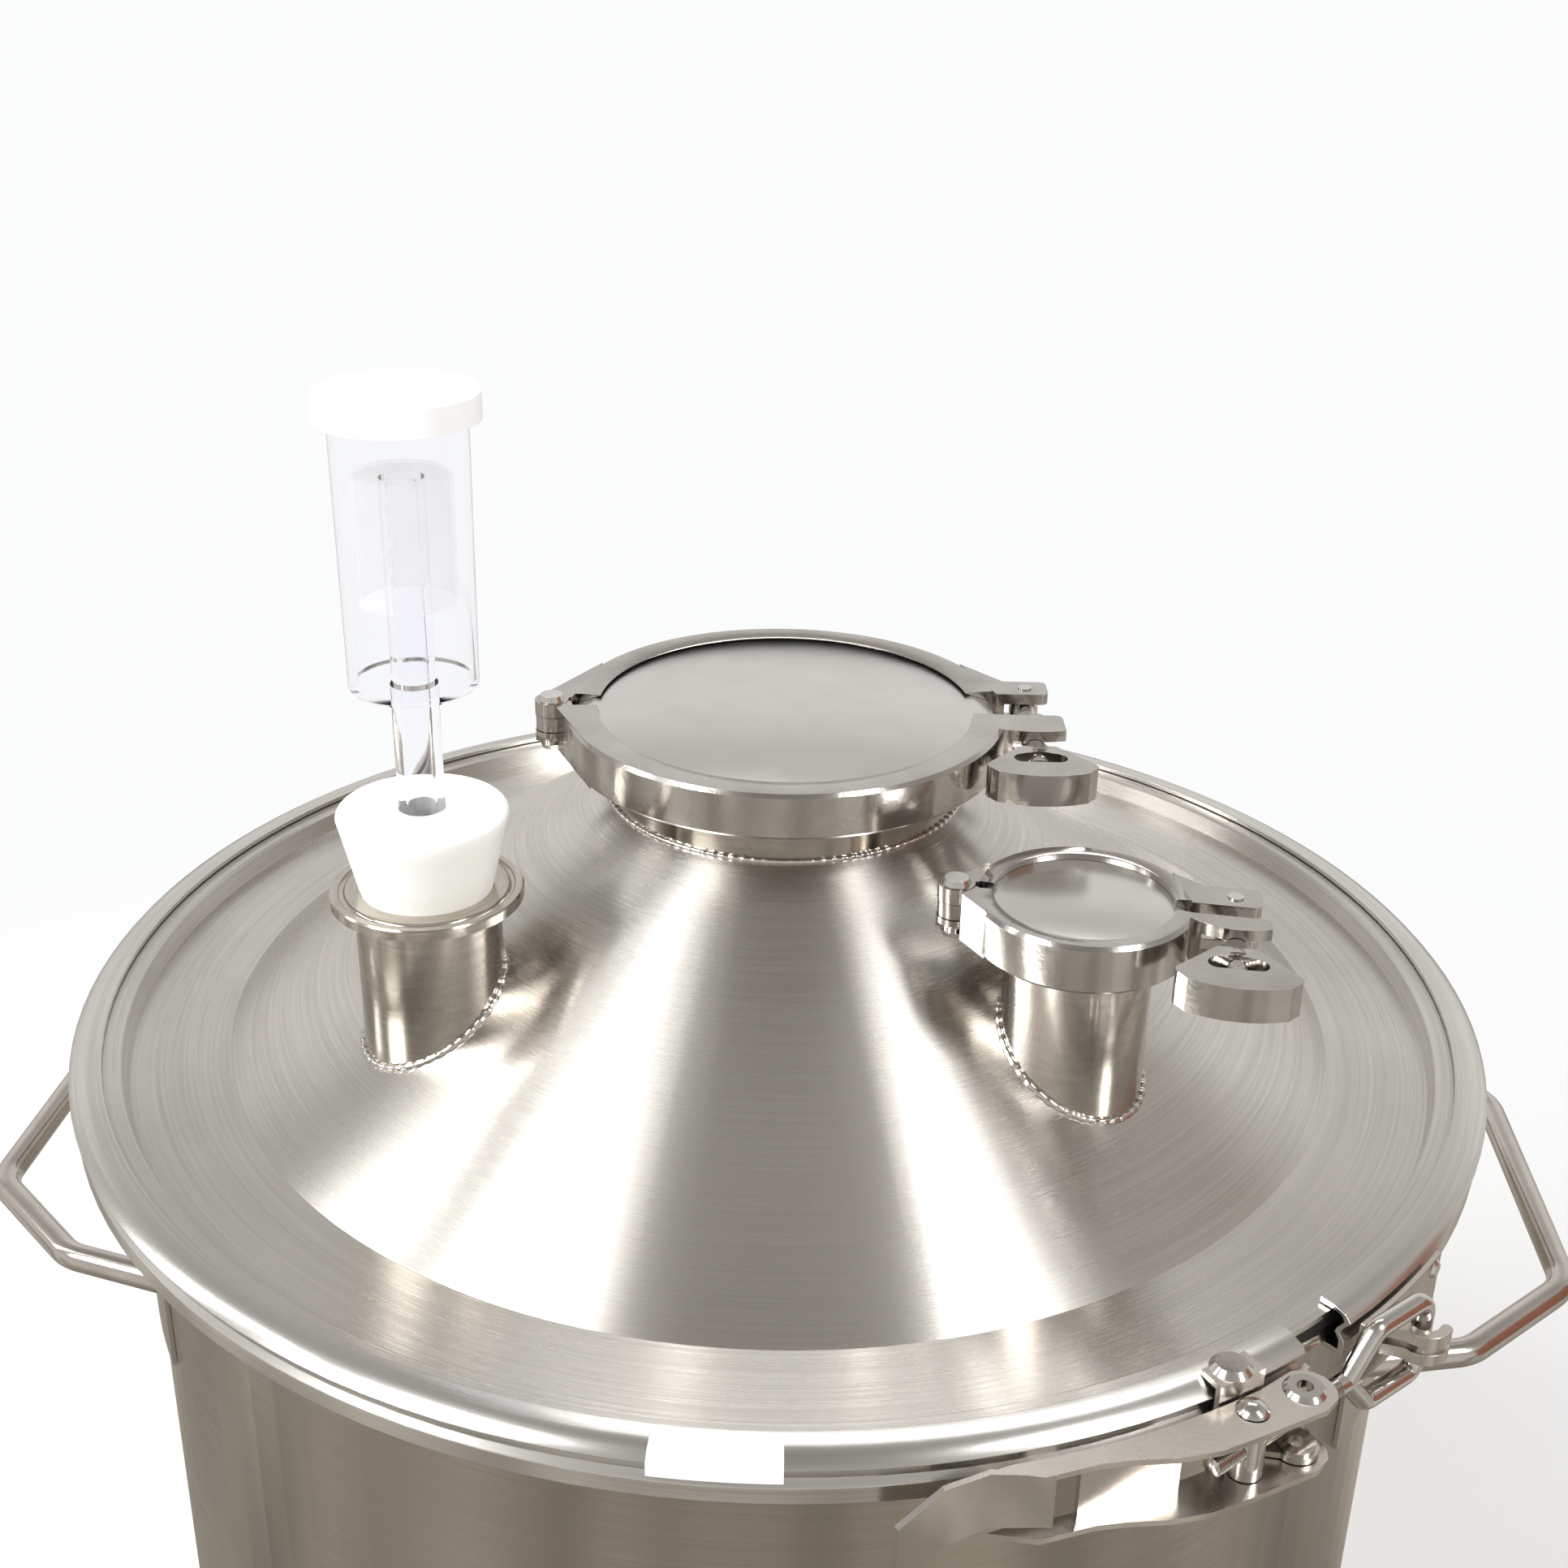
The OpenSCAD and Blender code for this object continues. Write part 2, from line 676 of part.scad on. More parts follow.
module clamp_rear(s) {
    lean = asin((rear_y(s) + ear_len) / ring_r(s)) + 14;
    hx = hinge_x(s);
    difference() {
        union() {
            clamp_arc(s, asin((rear_y(s) + 0.2) / ring_r(s)) + 2, 176);
            difference() {
                translate([0, 0, -clamp_half])
                    linear_extrude(2 * clamp_half)
                        ear_plan(s, rear_y(s), rear_y(s) + ear_len, lean, 6.5);
                cylinder(r = groove_r(s), h = 40, center = true, $fn = 120);
                lug_slot(s);
            }
            difference() {
                translate([0, 0, -clamp_half])
                    linear_extrude(2 * clamp_half)
                        union() {
                            polygon([polar(ring_r(s) - 0.2, 152), [hx - 2.4, 4.15], [hx, 0],
                                [-ring_r(s) + 1.2, 1.5]]);
                            translate([hx, 0]) circle(r = knuckle_r);
                        }
                cylinder(r = groove_r(s), h = 40, center = true, $fn = 120);
                translate([hx, 0, 0])
                    cylinder(r = knuckle_r + 0.8, h = 2 * (tongue_half + 0.25), center = true);
                translate([hx, -8, -tongue_half - 0.25])
                    cube([12, 9, 2 * (tongue_half + 0.25)]);
            }
        }
        translate([bolt_x(s), pin_y(s), 0])
            cylinder(r = pin_r + close, h = 40, center = true);
        translate([hx, 0, 0])
            cylinder(r = hinge_r + close, h = 40, center = true);
        translate([-ring_r(s) - 20, -20 - 0.2, -20])
            cube([20.5 + clamp_wall + 4.2, 20, 16]);
    }
}

module clamp_front(s) {
    far = front_y(s) - front_t(s);
    lean = asin(-far / ring_r(s)) + 14;
    hx = hinge_x(s);
    difference() {
        union() {
            clamp_arc(s, 184, 360 - asin(-front_y(s) / ring_r(s)));
            difference() {
                translate([0, 0, -clamp_half])
                    linear_extrude(2 * clamp_half)
                        ear_plan(s, front_y(s), far - 4, lean, 8.5);
                cylinder(r = groove_r(s), h = 40, center = true, $fn = 120);
                lug_slot(s);
                translate([bolt_x(s), pin_y(s), 0])
                    difference() {
                        cylinder(r = 60, h = 40, center = true);
                        cylinder(r = pin_y(s) - far, h = 50, center = true);
                    }
            }
            difference() {
                translate([0, 0, -clamp_half])
                    linear_extrude(2 * clamp_half)
                        polygon([polar(ring_r(s) - 0.2, 212), [hx + 2, -6.2], [hx + 2.6, -1.2],
                            [-ring_r(s) + 1.2, -1.2]]);
                cylinder(r = groove_r(s), h = 40, center = true, $fn = 120);
                for (side = [-1, 1])
                    translate([hx, 0, side * (clamp_half + tongue_half)])
                        cylinder(r = knuckle_r + 0.3, h = 2 * clamp_half, center = true);
            }
            translate([hx, 0, 0])
                difference() {
                    union() {
                        cylinder(r = knuckle_r - 0.2, h = 2 * tongue_half, center = true);
                        translate([0, -4.4, -tongue_half])
                            cube([5, 3.6, 2 * tongue_half]);
                    }
                    translate([-hx, 0, 0])
                        cylinder(r = groove_r(s), h = 40, center = true, $fn = 120);
                }
        }
        translate([hx, 0, 0])
            cylinder(r = hinge_r + close, h = 40, center = true);
    }
}

module hinge_pin(s) {
    translate([hinge_x(s), 0, 0])
        union() {
            cylinder(r = hinge_r, h = 2 * clamp_half, center = true);
            for (side = [-1, 1])
                translate([0, 0, side * clamp_half])
                    rotate([side > 0 ? 0 : 180, 0, 0])
                        cylinder(r1 = 3.7, r2 = 3.1, h = 1.5);
        }
}

module bolt_pin(s) {
    translate([bolt_x(s), pin_y(s), 0])
        cylinder(r = pin_r, h = 2 * clamp_half + 0.8, center = true);
}

bolt_end = [42.5, 31.6];
function bolt_tip(s) = pin_y(s) - (s[0] > 40 ? bolt_end[0] : bolt_end[1]);

module swing_bolt(s) {
    eye_h = lug_gap - 2 * loose;
    translate([bolt_x(s), 0, 0])
        difference() {
            union() {
                translate([0, pin_y(s), 0])
                    cylinder(r = 4.2, h = eye_h, center = true);
                translate([0, pin_y(s) - 3, 0])
                    rotate([90, 0, 0])
                        cylinder(r = bolt_d / 2, h = pin_y(s) - 3 - bolt_tip(s));
            }
            translate([0, pin_y(s), 0])
                cylinder(r = pin_r + close, h = 20, center = true);
        }
}

// Wing nut: a bell-shaped collar and a triangular loop, the bolt's end shows in its window
collar_len = 8;
wing_h = 9;
function wing_plan() = concat(
    arc([-4.2, -1.5], 1.6, 160, 100, 3), arc([4.2, -1.5], 1.6, 80, 20, 3),
    arc([wing_w / 2 - 2.6, -wing_l + 7], 2.6, 20, -55, 4),
    arc([0, -wing_l + 30], 30, -66, -114, 8),
    arc([-wing_w / 2 + 2.6, -wing_l + 7], 2.6, 235, 160, 4));

module wing_nut(s) {
    translate([bolt_x(s), nut_y(s), 0])
        difference() {
            union() {
                rotate([90, 0, 0])
                    cylinder(r1 = 4.1, r2 = 5, h = collar_len);
                translate([0, -collar_len + 3, -wing_h / 2])
                    linear_extrude(wing_h)
                        polygon(wing_plan());
            }
            rotate([90, 0, 0])
                translate([0, 0, -1])
                    cylinder(r = bolt_d / 2 + close, h = collar_len + 5);
            translate([0, -collar_len - 3.6, -10])
                linear_extrude(20)
                    polygon(concat(arc([-4.5, -1.4], 2.8, 110, 250, 6), arc([4.5, -1.4], 2.8, -70, 70, 6),
                        [[0, 3.3]]));
        }
}

module centre_gasket() { color("white") at_centre() seal(wide_set); }
module centre_cap() { color("silver") at_centre() blank_cap(wide_set); }
module centre_clamp_rear() { color("silver") at_centre() clamp_rear(wide_set); }
module centre_clamp_front() { color("silver") at_centre() clamp_front(wide_set); }
module centre_hinge_pin() { color("gainsboro") at_centre() hinge_pin(wide_set); }
module centre_bolt() { color("gainsboro") at_centre() swing_bolt(wide_set); }
module centre_bolt_pin() { color("gainsboro") at_centre() bolt_pin(wide_set); }
module centre_wing_nut() { color("silver") at_centre() wing_nut(wide_set); }
module right_gasket() { color("white") at_right() seal(slim_set); }
module right_cap() { color("silver") at_right() blank_cap(slim_set); }
module right_clamp_rear() { color("silver") at_right() clamp_rear(slim_set); }
module right_clamp_front() { color("silver") at_right() clamp_front(slim_set); }
module right_hinge_pin() { color("gainsboro") at_right() hinge_pin(slim_set); }
module right_bolt() { color("gainsboro") at_right() swing_bolt(slim_set); }
module right_bolt_pin() { color("gainsboro") at_right() bolt_pin(slim_set); }
module right_wing_nut() { color("silver") at_right() wing_nut(slim_set); }

// Bung and airlock stand on the left port
bung_top = left_face + bung_up;
bung_low = left_face - bung_down;
bore_r = slim_tube_r - tube_t;
stem_low = bung_low + 2;
floor_z = bung_top + stem_up;
body_top = floor_z + body_h;
floor_t = 2;
pipe_r = 5.5;
pipe_bore = 3.5;
bell_t = 1;
bell_rest = 0.3;
bell_top = floor_z + 55;
pipe_top = bell_top - bell_t - bell_rest;
rim_flare = 1.5;

module on_left() {
    translate([left_x, left_y, 0]) children();
}

module bung() {
    slope = (bung_top_r - bore_r) / bung_up;
    low_r = bore_r - loose / 2 - slope * bung_down;
    color("white")
        on_left()
            rotate_extrude($fn = 96)
                polygon(concat(
                    [[stem_r - 2, bung_low], [low_r, bung_low], [bore_r - loose / 2, left_face]],
                    arc([bung_top_r - 2, bung_top - 2], 2, 10, 90, 5),
                    [[stem_r + loose / 2, bung_top], [stem_r + loose / 2, stem_low - loose / 2],
                        [stem_r - 2, stem_low - loose / 2]]));
}

module airlock_body() {
    color([0.9, 0.95, 1, 0.35])
        on_left()
            rotate_extrude($fn = 96)
                polygon([[pipe_bore, stem_low], [stem_r, stem_low], [stem_r, floor_z],
                    [body_low_r - 1, floor_z], [body_low_r, floor_z + 1],
                    [body_high_r, body_top - 5], [body_high_r + rim_flare, body_top - 4],
                    [body_high_r + rim_flare, body_top], [body_high_r + rim_flare - body_t, body_top],
                    [body_high_r + rim_flare - body_t, body_top - 3],
                    [body_high_r - body_t, body_top - 4.5], [body_low_r - body_t, floor_z + floor_t],
                    [pipe_r, floor_z + floor_t], [pipe_r, pipe_top], [pipe_bore, pipe_top]]);
}

module airlock_bell() {
    color([0.95, 0.97, 1, 0.5])
        on_left()
            rotate_extrude($fn = 96)
                polygon([[0, bell_top - bell_t], [bell_r - bell_t, bell_top - bell_t],
                    [bell_r - bell_t, bell_top - bell_h], [bell_r, bell_top - bell_h],
                    [bell_r, bell_top - 1], [bell_r - 1, bell_top], [0, bell_top]]);
}

module airlock_cap() {
    top = body_top + loose + 1.5;
    color("white")
        on_left()
            rotate_extrude($fn = 96)
                polygon([[0, body_top + loose], [body_high_r + rim_flare + loose, body_top + loose],
                    [body_high_r + rim_flare + loose, top - 7.5], [cap_r, top - 7.5],
                    [cap_r, top - 0.8], [cap_r - 0.8, top], [0, top]]);
}

vessel();
left_handle();
right_handle();
handle_pads();
lid();
lid_gasket();
lock_band();
lever_bracket();
pivot_rivets();
lever();
trunnion();
loop_rod();
catch_bracket();
bracket_rivets();
centre_ferrule();
centre_gasket();
centre_cap();
centre_clamp_rear();
centre_clamp_front();
centre_hinge_pin();
centre_bolt();
centre_bolt_pin();
centre_wing_nut();
right_ferrule();
right_gasket();
right_cap();
right_clamp_rear();
right_clamp_front();
right_hinge_pin();
right_bolt();
right_bolt_pin();
right_wing_nut();
left_ferrule();
weld_beads();
bung();
airlock_body();
airlock_bell();
airlock_cap();
label();
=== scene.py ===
import json
import math

import bmesh
import bpy
from mathutils import Matrix, Vector


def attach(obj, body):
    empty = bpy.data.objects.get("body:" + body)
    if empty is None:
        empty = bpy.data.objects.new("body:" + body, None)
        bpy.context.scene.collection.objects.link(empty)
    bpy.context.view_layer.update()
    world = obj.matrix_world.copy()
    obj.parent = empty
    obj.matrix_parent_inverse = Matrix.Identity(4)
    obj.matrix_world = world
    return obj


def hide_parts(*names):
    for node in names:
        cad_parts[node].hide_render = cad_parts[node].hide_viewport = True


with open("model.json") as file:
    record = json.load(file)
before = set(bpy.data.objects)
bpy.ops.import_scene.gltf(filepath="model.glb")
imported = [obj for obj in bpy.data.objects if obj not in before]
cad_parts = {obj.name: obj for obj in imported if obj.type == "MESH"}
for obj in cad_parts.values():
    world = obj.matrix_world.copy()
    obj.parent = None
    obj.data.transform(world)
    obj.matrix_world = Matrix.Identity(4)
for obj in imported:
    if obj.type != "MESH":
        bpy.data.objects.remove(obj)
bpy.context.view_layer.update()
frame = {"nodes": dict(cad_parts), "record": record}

MM = 0.001
record = frame["record"]
BODY_OF = {node: body for body, nodes in record["behaviour"]["bodies"].items() for node in nodes}

# Levels and places of the real object, in metres, the same as the solids have
RIM = 0.465
NOSE = RIM + 0.0048
LEVER_MID = NOSE - 0.0105
ANNULUS = RIM - 0.0002
CONE_R = 0.162
CONE_SLOPE = 0.629
CENTRE_PORT = Vector((0, 0, 0))
RIGHT_PORT = Vector((0.0763, -0.0798, 0))
LEFT_PORT = Vector((-0.093, -0.0621, 0))
SLIM_R = 0.01905
WIDE_R = 0.0508
RIGHT_TURN = math.radians(-9.5)

# Rod handles: half the plan of one, from the wall outwards; the other half mirrors it
WALL_R = 0.1890
HANDLE_HALF = ((0.1640, 0.0870), (0.197, 0.0785), (0.231, 0.047))
HANDLE_LEVEL = RIM - 0.055
HANDLE_ROD_R = 0.0039
HANDLE_BEND_R = 0.016
HANDLE_TURN = -4.25

# Swing bolts, in the plan of the clamp they close: the bolt's line, its pin, its tip, and its height
SWING_BOLTS = {
    "centre_bolt": {"port": CENTRE_PORT, "turn": 0.0, "bolt_x": 0.0696, "pin_y": 0.0153,
                    "tip_y": -0.0272, "level": RIM + 0.0878},
    "right_bolt": {"port": RIGHT_PORT, "turn": RIGHT_TURN, "bolt_x": 0.0376, "pin_y": 0.0064,
                   "tip_y": -0.0252, "level": RIM + 0.0703}}

# A solid's loose triangles are merged within this distance, and joined up where they lie this flat.
# Where that changes the area of its skin by more than this share, the solid keeps its own faces
MERGE = 2e-6
FLAT_DEGREES = 0.4
SKIN_CHANGE = 0.03


# Camera, at the photograph's angle: height over the band, pitch and roll were solved from its circles
def make_camera():
    back = 0.5243
    over_band = 0.3055
    pitch = math.radians(24.71)
    roll = math.radians(1.15)
    data = bpy.data.cameras.new("camera")
    data.sensor_width = 36
    data.lens = 45.7
    data.clip_start = 0.01
    camera = bpy.data.objects.new("camera", data)
    bpy.context.scene.collection.objects.link(camera)
    bpy.context.scene.camera = camera
    ahead = Vector((0, math.cos(pitch), -math.sin(pitch)))
    level = Vector((1, 0, 0))
    above = Vector((0, math.sin(pitch), math.cos(pitch)))
    right = math.cos(roll) * level + math.sin(roll) * above
    up = math.cos(roll) * above - math.sin(roll) * level
    turn = Matrix((right, up, -ahead)).transposed().to_4x4()
    camera.matrix_world = Matrix.Translation((0, -back, NOSE + over_band)) @ turn


# Materials
def linear(code, alpha=1.0):
    parts = [int(code[i:i + 2], 16) / 255 for i in (1, 3, 5)]
    return [p / 12.92 if p <= 0.04045 else ((p + 0.055) / 1.055) ** 2.4 for p in parts] + [alpha]


# Links an input that is given as a socket, and sets any other. A number names one of several like inputs
def plug(tree, node, inputs):
    for key, value in inputs.items():
        if isinstance(value, bpy.types.NodeSocket):
            tree.links.new(value, node.inputs[key])
        else:
            node.inputs[key].default_value = value


def add(tree, kind, inputs=None, **settings):
    node = tree.nodes.new(kind)
    for name, value in settings.items():
        setattr(node, name, value)
    plug(tree, node, inputs or {})
    return node


def new_material(name):
    material = bpy.data.materials.new(name)
    material.use_nodes = True
    tree = material.node_tree
    return material, tree, tree.nodes["Principled BSDF"]


# Scale of a noise whose marks have this size on the object
def marks_of(size_mm):
    return 1 / (size_mm * MM)


# Colour that goes from one tone to another while the pattern crosses a span
def two_tones(tree, pattern, span, tones):
    share = add(tree, "ShaderNodeMapRange", {0: pattern, 1: span[0], 2: span[1]})
    mixed = add(tree, "ShaderNodeMix", {0: share.outputs[0], 6: linear(tones[0]), 7: linear(tones[1])},
                data_type="RGBA")
    return mixed.outputs[2]


# One pattern moves both the colour and the roughness of a finish
def vary_finish(tree, shader, pattern, tones, tone_span, roughs, rough_span):
    rough = add(tree, "ShaderNodeMapRange", {0: pattern, 1: rough_span[0], 2: rough_span[1], 3: roughs[0],
                                             4: roughs[1]})
    plug(tree, shader, {"Base Color": two_tones(tree, pattern, tone_span, tones),
                        "Roughness": rough.outputs[0]})


# Distance from a vertical line through the object's own origin
def away_from_axis(tree, where):
    flat = add(tree, "ShaderNodeVectorMath", {0: where, 1: (1, 1, 0)}, operation="MULTIPLY")
    return add(tree, "ShaderNodeVectorMath", {0: flat.outputs[0]}, operation="LENGTH").outputs["Value"]


# Coordinates that follow a turned surface: distance from the axis, bearing, height
def turned_coordinates(tree, where, centre, lines_per_mm, around):
    moved = add(tree, "ShaderNodeMapping", {"Vector": where, "Location": -Vector(centre)}).outputs[0]
    x, y, z = add(tree, "ShaderNodeSeparateXYZ", {0: moved}).outputs
    bearing = add(tree, "ShaderNodeMath", {0: y, 1: x}, operation="ARCTAN2")
    turned = add(tree, "ShaderNodeCombineXYZ", {0: away_from_axis(tree, moved), 1: bearing.outputs[0],
                                                2: z})
    per_metre = lines_per_mm / MM
    return add(tree, "ShaderNodeVectorMath", {0: turned.outputs[0], 1: (per_metre, around, per_metre)},
               operation="MULTIPLY").outputs[0]


# Stainless sheet or tube brushed round its axis: fine rings pull each highlight out into a fan.
# Real brushed lines are finer than 0.5 mm, which would not show, so they are drawn 0.8 to 1.4 mm apart
def brushed_round(name, tones, rough, spread, centre=(0, 0, 0), lines_per_mm=1.3):
    material, tree, shader = new_material(name)
    where = add(tree, "ShaderNodeTexCoord").outputs["Object"]
    along = turned_coordinates(tree, where, centre, lines_per_mm, 1.6)
    streaks = add(tree, "ShaderNodeTexNoise", {"Vector": along, "Scale": 1.0, "Detail": 3.0,
                                               "Roughness": 0.7})
    cloud = add(tree, "ShaderNodeTexNoise", {"Vector": where, "Scale": marks_of(71.43), "Detail": 2.0})
    both = add(tree, "ShaderNodeMix", {0: 0.4, 2: streaks.outputs[0], 3: cloud.outputs[0]})
    vary_finish(tree, shader, both.outputs[0], tones, (0.35, 0.65),
                (rough + 0.05, rough - 0.04), (0.3, 0.7))
    tangent = add(tree, "ShaderNodeTangent", direction_type="RADIAL", axis="Z")
    bump = add(tree, "ShaderNodeBump", {"Height": streaks.outputs[0], "Strength": 0.02, "Distance": 0.0005})
    plug(tree, shader, {"Metallic": 1, "Anisotropic": spread, "Anisotropic Rotation": 0.25,
                        "Tangent": tangent.outputs[0], "Normal": bump.outputs[0]})
    return material


# Steel without a grain: cast, pressed, turned or polished, with a fine uneven skin
def plain_steel(name, tones, rough, grain_mm, depth):
    material, tree, shader = new_material(name)
    where = add(tree, "ShaderNodeTexCoord").outputs["Object"]
    fine = add(tree, "ShaderNodeTexNoise", {"Vector": where, "Scale": marks_of(grain_mm), "Detail": 2.0})
    broad = add(tree, "ShaderNodeTexNoise", {"Vector": where, "Scale": marks_of(14.29), "Detail": 3.0})
    vary_finish(tree, shader, broad.outputs[0], tones, (0.15, 0.85),
                (rough + 0.03, rough - 0.03), (0.2, 0.8))
    bump = add(tree, "ShaderNodeBump", {"Height": fine.outputs[0], "Strength": depth, "Distance": 0.0004})
    plug(tree, shader, {"Metallic": 1, "Normal": bump.outputs[0]})
    return material


# Moulded plastic or rubber; scatter is how much of the light goes in and comes back soft
def soft_plastic(name, tones, rough, grain_mm, depth, scatter=0.0):
    material, tree, shader = new_material(name)
    where = add(tree, "ShaderNodeTexCoord").outputs["Object"]
    broad = add(tree, "ShaderNodeTexNoise", {"Vector": where, "Scale": marks_of(16.67), "Detail": 3.0})
    fine = add(tree, "ShaderNodeTexNoise", {"Vector": where, "Scale": marks_of(grain_mm)})
    vary_finish(tree, shader, broad.outputs[0], tones, (0.3, 0.7),
                (rough + 0.05, rough - 0.05), (0.3, 0.7))
    bump = add(tree, "ShaderNodeBump", {"Height": fine.outputs[0], "Strength": depth, "Distance": 0.0003})
    plug(tree, shader, {"Normal": bump.outputs[0]})
    if scatter:
        plug(tree, shader, {"Subsurface Weight": scatter, "Subsurface Radius": (0.006, 0.006, 0.005)})
    return material


# Moulded styrene with soft flow marks
def clear_styrene(name, code, rough, ior, transmission, alpha):
    material, tree, shader = new_material(name)
    where = add(tree, "ShaderNodeTexCoord").outputs["Object"]
    flow = add(tree, "ShaderNodeTexNoise", {"Vector": where, "Scale": marks_of(11.11),
                                            "Detail": 2.0}).outputs[0]
    marks = add(tree, "ShaderNodeMapRange", {0: flow, 1: 0.3, 2: 0.7, 3: rough, 4: rough + 0.06})
    bump = add(tree, "ShaderNodeBump", {"Height": flow, "Strength": 0.05, "Distance": 0.0005})
    plug(tree, shader, {"Base Color": linear(code), "Roughness": marks.outputs[0], "IOR": ior,
                        "Transmission Weight": transmission, "Alpha": alpha, "Normal": bump.outputs[0]})
    return material


def make_materials():
    tube_tones = ("#B4ADA3", "#D0CAC1")
    return {
        # Brushed while it was spun: each light is drawn out into a broad fan down the cone
        "lid": brushed_round("spun_stainless_brushed", ("#BBB8B3", "#D5D2CD"), 0.27, 0.82),
        # Deep drawn and brushed: paler and warmer, with tall soft reflections down the wall
        "vessel": brushed_round("drawn_stainless_brushed", ("#CFCAC2", "#E0DBD3"), 0.22, 0.6,
                                lines_per_mm=0.9),
        # Rolled and satin: one soft bright line along its shoulder
        "band": brushed_round("rolled_band_satin", ("#C3C0BC", "#DAD8D4"), 0.24, 0.5, lines_per_mm=0.8),
        # Polished tube: close to a mirror, with faint lines round it
        "wide_tube": brushed_round("tube_stainless_polished", tube_tones, 0.13, 0.3, lines_per_mm=0.7),
        "right_tube": brushed_round("right_tube_stainless_polished", tube_tones, 0.15, 0.3, RIGHT_PORT,
                                    lines_per_mm=0.7),
        "left_tube": brushed_round("left_tube_stainless_polished", tube_tones, 0.15, 0.3, LEFT_PORT,
                                   lines_per_mm=0.7),
        # Satin plate: a flat pale grey with blurred reflections and no lines
        "cap": plain_steel("cap_stainless_satin", ("#CFCDCA", "#D8D6D3"), 0.24, 0.8, 0.02),
        # Polished rod: narrow light and dark streaks along its length
        "rod": plain_steel("rod_stainless_polished", ("#BAB4AF", "#D2CCC7"), 0.16, 1.5, 0.03),
        # Pressed plate: duller than the rod, and slightly uneven
        "pressed": plain_steel("pressed_stainless_satin", ("#BDB7B0", "#D3CDC6"), 0.27, 1.2, 0.05),
        # Turned pins, rivets and threads: small sharp glints
        "bright": plain_steel("turned_steel_bright", ("#C4C1BD", "#DAD7D3"), 0.14, 1.0, 0.03),
        # Cast and tumbled clamps and nuts: darker, with a shine over a wavy skin
        "cast": plain_steel("cast_stainless_tumbled", ("#A9A5A0", "#C6C2BD"), 0.15, 1.6, 0.08),
        # Weld metal: bright and restless, each ripple with its own glint
        "weld": plain_steel("weld_bead_bright", ("#B9B5B0", "#E2DFDA"), 0.15, 2.0, 0.5),
        # Black rubber: matt, a dark line between pale edges
        "gasket": soft_plastic("gasket_rubber_black", ("#0C0C0C", "#1A1918"), 0.6, 0.8, 0.2),
        # Moulded silicone: white and soft, with shadows that light seeps into
        "silicone": soft_plastic("bung_silicone_white", ("#F3F4EF", "#FAFBF7"), 0.42, 0.7, 0.05, 0.25),
        # Moulded polythene: a slightly cooler white with a low sheen
        "cap_plastic": soft_plastic("cap_polythene_white", ("#F1F2F3", "#F8F9FA"), 0.38, 1.0, 0.04, 0.2),
        # Clear styrene: mostly edges and glints. Its index is far under styrene's 1.59, so
        # that the thin walls hardly bend what is behind them
        "clear": clear_styrene("airlock_styrene_clear", "#FDFDFF", 0.03, ior=1.12, transmission=1.0,
                               alpha=1.0),
        # Frosted styrene: a pale veil over what is behind it
        "bell": clear_styrene("bell_styrene_frosted", "#FFFFFF", 0.25, ior=1.45, transmission=0.0,
                              alpha=0.14),
        # Plain vinyl: an even white with a faint sheen
        "paper": soft_plastic("sticker_vinyl_white", ("#F0F1F3", "#F7F8F9"), 0.35, 0.6, 0.04)}


MATERIAL_OF = {
    "vessel": "vessel", "lid": "lid", "lock_band": "band", "lid_gasket": "gasket", "label": "paper",
    "left_handle": "rod", "right_handle": "rod", "handle_pads": "pressed", "lever_bracket": "pressed",
    "lever": "pressed", "catch_bracket": "pressed", "pivot_rivets": "bright", "trunnion": "bright",
    "loop_rod": "bright", "bracket_rivets": "bright", "centre_ferrule": "wide_tube",
    "right_ferrule": "right_tube", "left_ferrule": "left_tube", "centre_cap": "cap", "right_cap": "cap",
    "centre_gasket": "silicone", "right_gasket": "silicone", "weld_beads": "weld", "bung": "silicone",
    "airlock_body": "clear", "airlock_bell": "bell", "airlock_cap": "cap_plastic"}
for port in ("centre", "right"):
    for part in ("clamp_rear", "clamp_front", "wing_nut"):
        MATERIAL_OF[port + "_" + part] = "cast"
    for part in ("hinge_pin", "bolt", "bolt_pin"):
        MATERIAL_OF[port + "_" + part] = "bright"


# Shapes
def finish_piece(name, mesh, material, node):
    piece = bpy.data.objects.new(name, mesh)
    bpy.context.scene.collection.objects.link(piece)
    mesh.materials.clear()
    mesh.materials.append(material)
    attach(piece, BODY_OF[node])
    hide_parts(node)


def mark_edges(bm, degrees):
    limit = math.radians(degrees)
    for face in bm.faces:
        face.smooth = True
    for edge in bm.edges:
        edge.smooth = len(edge.link_faces) == 2 and edge.calc_face_angle(0) < limit


def skin_area(mesh):
    return sum(face.area for face in mesh.polygons)


# A solid with its edges eased: its triangles are joined up first, and left alone where that spoils a face
def eased(node, material, width_mm, degrees=32):
    mesh = joined(node, width_mm, degrees, join=True)
    if abs(skin_area(mesh) / skin_area(frame["nodes"][node].data) - 1) > SKIN_CHANGE:
        mesh = joined(node, 0, degrees, join=False)
    finish_piece(node + "_finished", mesh, material, node)


